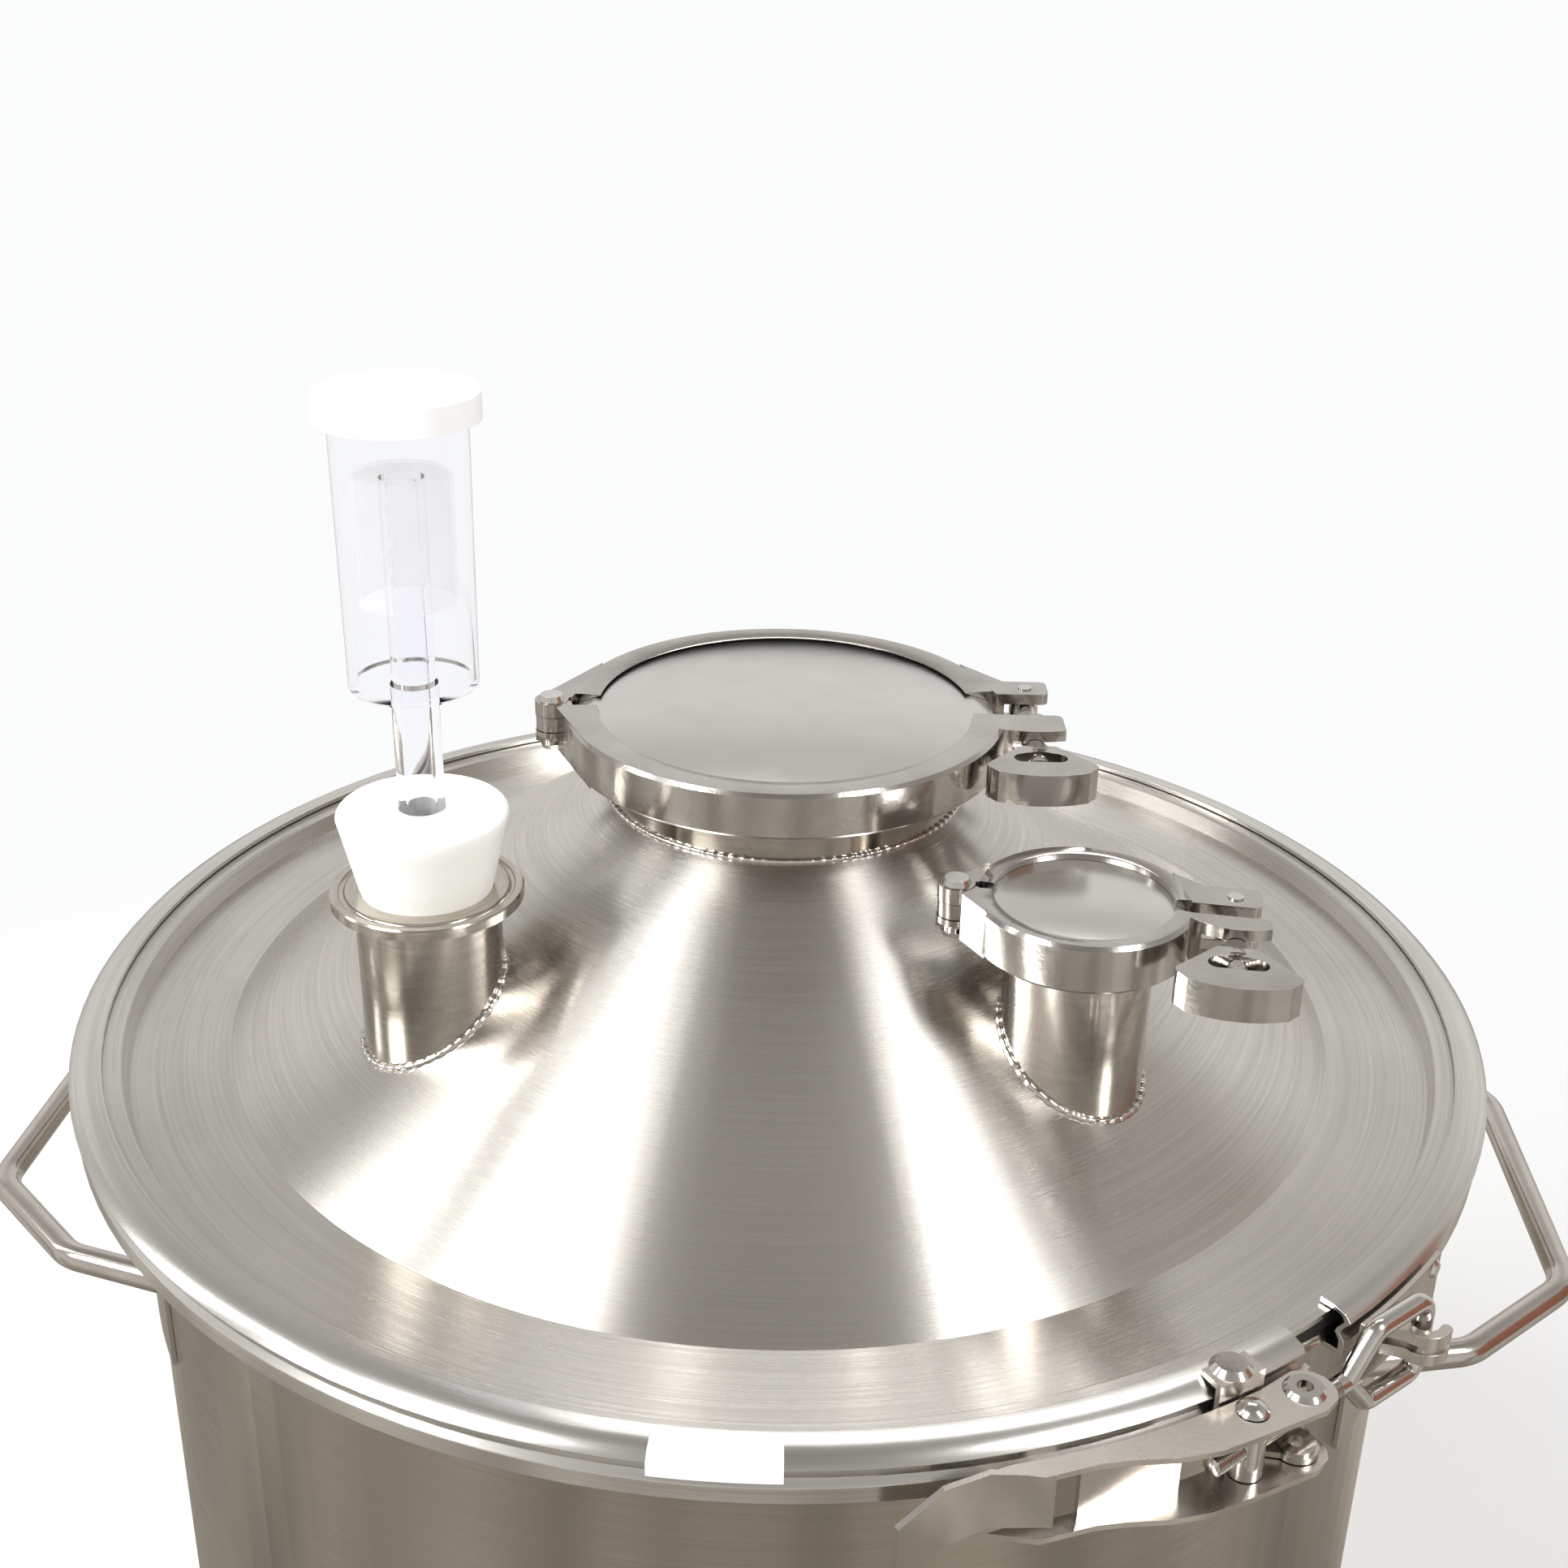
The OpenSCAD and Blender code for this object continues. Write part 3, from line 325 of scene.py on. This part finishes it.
def joined(node, width_mm, degrees, join):
    bm = bmesh.new()
    bm.from_mesh(frame["nodes"][node].data)
    bmesh.ops.remove_doubles(bm, verts=bm.verts, dist=MERGE)
    if join:
        bmesh.ops.dissolve_limit(bm, angle_limit=math.radians(FLAT_DEGREES), verts=bm.verts, edges=bm.edges)
        bmesh.ops.triangulate(bm, faces=[face for face in bm.faces if len(face.verts) > 4])
    mark_edges(bm, degrees)
    mesh = bpy.data.meshes.new(node + "_eased")
    bm.to_mesh(mesh)
    bm.free()
    if not width_mm:
        return mesh
    holder = bpy.data.objects.new("holder", mesh)
    bpy.context.scene.collection.objects.link(holder)
    bevel = holder.modifiers.new("edges", "BEVEL")
    bevel.width = width_mm * MM
    bevel.segments = 2
    bevel.limit_method = "ANGLE"
    bevel.angle_limit = math.radians(degrees)
    bevel.harden_normals = True
    graph = bpy.context.evaluated_depsgraph_get()
    result = bpy.data.meshes.new_from_object(holder.evaluated_get(graph))
    bpy.data.objects.remove(holder)
    return result


# Rings of a tube along 3-D points; each ring has its own radius
def tube_mesh(bm, points, radii, sides, closed=False, trim=None):
    count = len(points)
    rings = []
    side = None
    for i, point in enumerate(points):
        before = points[i - 1] if (i > 0 or closed) else points[i]
        after = points[(i + 1) % count] if (i < count - 1 or closed) else points[i]
        along = (after - before).normalized()
        if side is None:
            side = along.orthogonal().normalized()
        side = (side - along * side.dot(along)).normalized()
        other = along.cross(side)
        ring = []
        for k in range(sides):
            angle = 2 * math.pi * k / sides
            spot = point + radii[i] * (math.cos(angle) * side + math.sin(angle) * other)
            if trim and i in (0, count - 1):
                spot = trim(spot, along)
            ring.append(bm.verts.new(spot))
        rings.append(ring)
    for i in range(count if closed else count - 1):
        a, b = rings[i], rings[(i + 1) % count]
        for k in range(sides):
            bm.faces.new((a[k], a[(k + 1) % sides], b[(k + 1) % sides], b[k]))
    if not closed:
        bm.faces.new(list(reversed(rings[0])))
        bm.faces.new(rings[-1])


def mesh_from(bm, name, degrees=40):
    bmesh.ops.recalc_face_normals(bm, faces=bm.faces)
    mark_edges(bm, degrees)
    mesh = bpy.data.meshes.new(name)
    bm.to_mesh(mesh)
    bm.free()
    return mesh


# Arc that rounds the corner at b, between the lines from a and to c
def bend(a, b, c, radius, steps=12):
    into = (b - a).normalized()
    out = (c - b).normalized()
    turn = into.angle(out)
    start = b - into * radius * math.tan(turn / 2)
    inward = (out - into * out.dot(into)).normalized()
    return [start + radius * (inward * (1 - math.cos(turn * i / steps)) + into * math.sin(turn * i / steps))
            for i in range(steps + 1)]


def bent(points, radius):
    path = [points[0]]
    for i in range(1, len(points) - 1):
        path += bend(points[i - 1], points[i], points[i + 1], radius)
    return path + [points[-1]]


# Moves a point of a rod's end along the rod, to the vessel's wall
def to_wall(spot, along):
    flat = Vector((spot.x, spot.y))
    way = Vector((along.x, along.y)).normalized()
    middle = flat.dot(way)
    root = math.sqrt(max(middle ** 2 - flat.length_squared + WALL_R ** 2, 0))
    step = min(-middle - root, -middle + root, key=abs)
    spot.x += way.x * step
    spot.y += way.y * step
    return spot


def make_handle(node, turn_degrees, material):
    plan = list(HANDLE_HALF) + [(x, -y) for x, y in reversed(HANDLE_HALF)]
    turn = Matrix.Rotation(math.radians(turn_degrees), 3, "Z")
    path = bent([turn @ Vector((x, y, HANDLE_LEVEL)) for x, y in plan], HANDLE_BEND_R)
    bm = bmesh.new()
    tube_mesh(bm, path, [HANDLE_ROD_R] * len(path), 32, trim=to_wall)
    finish_piece(node + "_rod", mesh_from(bm, node), material, node)


# Uneven bead where a tube stands on the cone, with the ripples of hand welding. The seed shifts where
# it swells
def weld_ring(bm, centre, tube_r, bead_r, ripples, seed):
    ripple_steps = 6
    steps = ripples * ripple_steps
    points = []
    radii = []
    for i in range(steps):
        angle = 2 * math.pi * i / steps
        outward = Vector((math.cos(angle), math.sin(angle), 0))
        foot = centre + tube_r * outward
        foot.z = ANNULUS + (CONE_R - math.hypot(foot.x, foot.y)) * CONE_SLOPE
        points.append(foot + 0.25 * bead_r * outward)
        ripple = 0.5 + 0.5 * math.cos(2 * math.pi * i / ripple_steps)
        swell = 0.5 + 0.5 * math.sin(3 * angle + seed) * math.sin(7 * angle + 2 * seed)
        radii.append(bead_r * (0.62 + 0.2 * ripple + 0.18 * swell))
    tube_mesh(bm, points, radii, 10, closed=True)


def make_welds(material):
    bm = bmesh.new()
    weld_ring(bm, CENTRE_PORT, WIDE_R, bead_r=0.0011, ripples=110, seed=0.4)
    weld_ring(bm, RIGHT_PORT, SLIM_R, bead_r=0.0012, ripples=42, seed=1.7)
    weld_ring(bm, LEFT_PORT, SLIM_R, bead_r=0.0012, ripples=42, seed=2.9)
    finish_piece("weld_ripples", mesh_from(bm, "welds", 60), material, "weld_beads")


# Threads: rings at the real pitch, close enough to a helix at this size, behind a chamfered tip
def thread_points(start, end, outer, pitch):
    chamfer = 0.0007
    chamfer_length = 0.0004
    first_turn = 0.0006
    thread_depth = 0.000585
    way = (end - start).normalized()
    length = (end - start).length
    points = [start, start + way * chamfer_length]
    radii = [outer - chamfer, outer]
    place = first_turn
    while place < length - pitch:
        for share, depth in ((0.15, 0), (0.5, thread_depth), (0.65, thread_depth), (1.0, 0)):
            points.append(start + way * (place + share * pitch))
            radii.append(outer - depth)
        place += pitch
    points.append(end)
    radii.append(outer)
    return points, radii


# Rod of the lever lock: threaded through its barrel, then a bare neck, then the upright eye. Its radius
# is 0.1 mm more than the solid's
def make_loop_rod(material):
    barrel = Vector((0.106, -0.183, LEVER_MID))
    way = Vector((0.789, 0.614, 0)).normalized()
    up = Vector((0, 0, 1))
    rod_r = 0.0025
    pitch = 0.0008
    tail = 0.0125
    thread_end = 0.031
    fork = 0.034
    neck_end = 0.037
    eye_start = 0.043
    eye_end = 0.062
    eye_half = 0.0106
    eye_lap = 0.0002
    eye_bend_r = 0.004
    bm = bmesh.new()
    points, radii = thread_points(barrel - way * tail, barrel + way * thread_end, rod_r, pitch)
    tube_mesh(bm, points, radii, 20)
    neck = [barrel + way * (thread_end + (neck_end - thread_end) * i / 6) for i in range(7)]
    tube_mesh(bm, neck, [rod_r] * len(neck), 20)
    for side in (up, -up):
        path = bent([barrel + way * fork, barrel + way * eye_start + eye_half * side,
                     barrel + way * eye_end + eye_half * side,
                     barrel + way * eye_end - eye_lap * side], eye_bend_r)
        tube_mesh(bm, path, [rod_r] * len(path), 20)
    finish_piece("loop_rod_threaded", mesh_from(bm, "loop_rod"), material, "loop_rod")


def make_swing_bolt(node, material, port, turn, bolt_x, pin_y, tip_y, level):
    bolt_r = 0.003
    pitch = 0.001
    neck_start = pin_y - 0.008
    neck_step = 0.0015
    neck_radii = [0.003, 0.003, 0.0031, 0.0033, 0.0029]
    lower_eye = [(-0.00305, 0.0030), (-0.0026, 0.0037), (-0.0014, 0.0041)]
    eye = lower_eye + [(0, 0.0042)] + [(-z, radius) for z, radius in reversed(lower_eye)]

    def place(y, z=0.0):
        flat = Matrix.Rotation(turn, 3, "Z") @ Vector((bolt_x, y, 0))
        return Vector((port.x + flat.x, port.y + flat.y, level + z))

    bm = bmesh.new()
    points, radii = thread_points(place(tip_y), place(neck_start), bolt_r, pitch)
    tube_mesh(bm, points, radii, 20)
    neck = [place(neck_start + neck_step * i) for i in range(len(neck_radii))]
    tube_mesh(bm, neck, neck_radii, 20)
    tube_mesh(bm, [place(pin_y, z) for z, radius in eye], [radius for z, radius in eye], 32)
    finish_piece(node + "_threaded", mesh_from(bm, node), material, node)


# What the steel mirrors of the room: pale behind it, greyer overhead, warm and uneven towards the floor
def room_colour(tree, where):
    moved = add(tree, "ShaderNodeMapping", {"Vector": where, "Location": (0, 0, -RIM), "Scale": (1, -1, 1)})
    x, y, z = add(tree, "ShaderNodeSeparateXYZ", {0: moved.outputs[0]}).outputs
    steep = add(tree, "ShaderNodeMath", {0: z, 1: away_from_axis(tree, moved.outputs[0])},
                operation="DIVIDE")
    rise = add(tree, "ShaderNodeMapRange", {0: steep.outputs[0], 1: -1.2, 2: 1.2})
    wall = add(tree, "ShaderNodeValToRGB", {0: rise.outputs[0]})
    stops = wall.color_ramp.elements
    stops[0].color = linear("#A39B8E")
    stops[1].color = linear("#A19C97")
    for place, code in ((0.28, "#DCD6CB"), (0.5, "#ECE9E4"), (0.69, "#F4F3F1"), (0.76, "#E6E4E1"),
                        (0.85, "#BDB9B5")):
        stops.new(place).color = linear(code)
    bearing = add(tree, "ShaderNodeMath", {0: x, 1: y}, operation="ARCTAN2")
    turned = add(tree, "ShaderNodeCombineXYZ", {0: bearing.outputs[0]})
    bands = add(tree, "ShaderNodeTexNoise", {"Vector": turned.outputs[0], "Scale": 2.6, "Detail": 1.0})
    low = add(tree, "ShaderNodeMath", {0: z, 1: -0.1}, operation="LESS_THAN")
    dark = add(tree, "ShaderNodeMapRange", {0: bands.outputs[0], 1: 0.4, 2: 0.6, 3: 0.5, 4: 0.0})
    dim = add(tree, "ShaderNodeMath", {0: low.outputs[0], 1: dark.outputs[0]}, operation="MULTIPLY")
    return add(tree, "ShaderNodeMix", {0: dim.outputs[0], 6: wall.outputs[0], 7: linear("#3F3A34")},
               data_type="RGBA").outputs[2]


# Stage: a white paper sweep, which the camera sees as paper near the object and as plain white far off,
# and which the steel mirrors as a room
def make_stage():
    front = -3.0
    back = 2.2
    cove = 1.0
    top = 4.0
    half_width = 5.0
    cove_steps = 16
    profile = [(front, 0.0), (back, 0.0)]
    for i in range(1, cove_steps + 1):
        angle = math.pi / 2 * i / cove_steps
        profile.append((back + cove * math.sin(angle), cove - cove * math.cos(angle)))
    profile.append((back + cove, top))
    bm = bmesh.new()
    rows = [[bm.verts.new((x, y, z)) for y, z in profile] for x in (-half_width, half_width)]
    for i in range(len(profile) - 1):
        bm.faces.new((rows[0][i], rows[1][i], rows[1][i + 1], rows[0][i + 1])).smooth = True
    mesh = bpy.data.meshes.new("backdrop")
    bm.to_mesh(mesh)
    bm.free()
    floor = bpy.data.objects.new("backdrop", mesh)
    bpy.context.scene.collection.objects.link(floor)
    material, tree, shader = new_material("paper_backdrop_white")
    tree.nodes.remove(shader)
    paper = add(tree, "ShaderNodeBsdfDiffuse", {"Color": linear("#F4F5F6")})
    glow = add(tree, "ShaderNodeEmission", {"Color": linear("#FBFCFC"), "Strength": 1.0})
    rays = add(tree, "ShaderNodeLightPath").outputs
    where = add(tree, "ShaderNodeTexCoord").outputs["Object"]
    room = add(tree, "ShaderNodeEmission", {"Color": room_colour(tree, where), "Strength": 1.0})
    seen = add(tree, "ShaderNodeMath", {0: rays["Is Camera Ray"], 1: rays["Is Transmission Ray"]},
               operation="MAXIMUM")
    away = add(tree, "ShaderNodeVectorMath", {0: where}, operation="LENGTH")
    far = add(tree, "ShaderNodeMapRange", {0: away.outputs["Value"], 1: 0.45, 2: 1.1})
    share = add(tree, "ShaderNodeMath", {0: seen.outputs[0], 1: far.outputs[0]}, operation="MULTIPLY")
    plain = add(tree, "ShaderNodeMixShader", {0: share.outputs[0], 1: paper.outputs[0], 2: glow.outputs[0]})
    outside = add(tree, "ShaderNodeMath", {0: 1.0, 1: rays["Is Transmission Ray"]}, operation="SUBTRACT")
    mirrored = add(tree, "ShaderNodeMath", {0: rays["Is Glossy Ray"], 1: outside.outputs[0]},
                   operation="MULTIPLY")
    both = add(tree, "ShaderNodeMixShader", {0: mirrored.outputs[0], 1: plain.outputs[0],
                                             2: room.outputs[0]})
    plug(tree, tree.nodes["Material Output"], {0: both.outputs[0]})
    mesh.materials.append(material)


def make_light(name, place, size_x, size_y, watts):
    data = bpy.data.lights.new(name, "AREA")
    data.shape = "RECTANGLE"
    data.size = size_x
    data.size_y = size_y
    data.energy = watts
    lamp = bpy.data.objects.new(name, data)
    bpy.context.scene.collection.objects.link(lamp)
    lamp.location = place
    lamp.rotation_euler = (Vector((0, 0, NOSE)) - Vector(place)).to_track_quat("-Z", "Y").to_euler()


# Softboxes, all turned to the lid: their place, width, height and power. The world is a pale room for
# reflections, and white where the camera sees it
def make_lights():
    make_light("left_softbox", (-1.15, -0.75, 1.7), 0.62, 0.95, 34)
    make_light("side_softbox", (-1.6, 0.1, 1.5), 0.16, 1.1, 6)
    make_light("right_softbox", (1.0, -0.75, 1.75), 0.26, 0.9, 16)
    make_light("top_softbox", (0.25, 1.1, 2.4), 1.4, 0.5, 7)
    world = bpy.data.worlds.new("studio")
    bpy.context.scene.world = world
    world.use_nodes = True
    tree = world.node_tree
    where = add(tree, "ShaderNodeTexCoord").outputs["Generated"]
    height = add(tree, "ShaderNodeSeparateXYZ", {0: where}).outputs[2]
    rays = add(tree, "ShaderNodeLightPath").outputs
    seen = add(tree, "ShaderNodeMix", {
        0: rays["Is Camera Ray"], 6: two_tones(tree, height, (0.1, 0.95), ("#E2E0DC", "#9C9893")),
        7: linear("#FBFCFC")}, data_type="RGBA")
    plug(tree, tree.nodes["Background"], {0: seen.outputs[2], 1: 1.0})


# Brown board at the right, out of the picture: its warm reflection runs down the lid and the wall
def make_board():
    at_x = 1.25
    near_y = -0.75
    far_y = 0.25
    foot = 0.1
    head = 1.0
    corners = [(at_x, near_y, foot), (at_x, far_y, foot), (at_x, far_y, head), (at_x, near_y, head)]
    mesh = bpy.data.meshes.new("board")
    mesh.from_pydata(corners, [], [(0, 1, 2, 3)])
    board = bpy.data.objects.new("board", mesh)
    bpy.context.scene.collection.objects.link(board)
    material, tree, shader = new_material("board_card_brown")
    plug(tree, shader, {"Base Color": linear("#8E5F4C"), "Roughness": 0.8})
    rays = add(tree, "ShaderNodeLightPath").outputs
    clear = add(tree, "ShaderNodeBsdfTransparent")
    mix = add(tree, "ShaderNodeMixShader", {0: rays["Is Camera Ray"], 1: shader.outputs[0],
                                            2: clear.outputs[0]})
    plug(tree, tree.nodes["Material Output"], {0: mix.outputs[0]})
    mesh.materials.append(material)


# Widths of the eased edges, in millimetres; what is not named keeps its own edges
EASED = {
    "centre_clamp_rear": 0.5, "centre_clamp_front": 0.5, "right_clamp_rear": 0.45,
    "right_clamp_front": 0.45, "centre_wing_nut": 0.9, "right_wing_nut": 0.9, "lever": 0.25,
    "lever_bracket": 0.2, "catch_bracket": 0.3, "lock_band": 0.2, "pivot_rivets": 0.2,
    "bracket_rivets": 0.2, "centre_hinge_pin": 0.3, "right_hinge_pin": 0.3, "airlock_cap": 0.25}
MADE_HERE = {"left_handle", "right_handle", "weld_beads", "loop_rod", "centre_bolt", "right_bolt"}

# Build
make_camera()
finishes = make_materials()
for node in MATERIAL_OF:
    if node not in MADE_HERE:
        eased(node, finishes[MATERIAL_OF[node]], EASED.get(node, 0.0))
make_handle("right_handle", HANDLE_TURN, finishes["rod"])
make_handle("left_handle", 180 + HANDLE_TURN, finishes["rod"])
make_welds(finishes["weld"])
make_loop_rod(finishes["bright"])
for node, sizes in SWING_BOLTS.items():
    make_swing_bolt(node, finishes["bright"], **sizes)
make_stage()
make_board()
make_lights()
bpy.context.scene.view_settings.view_transform = "Standard"
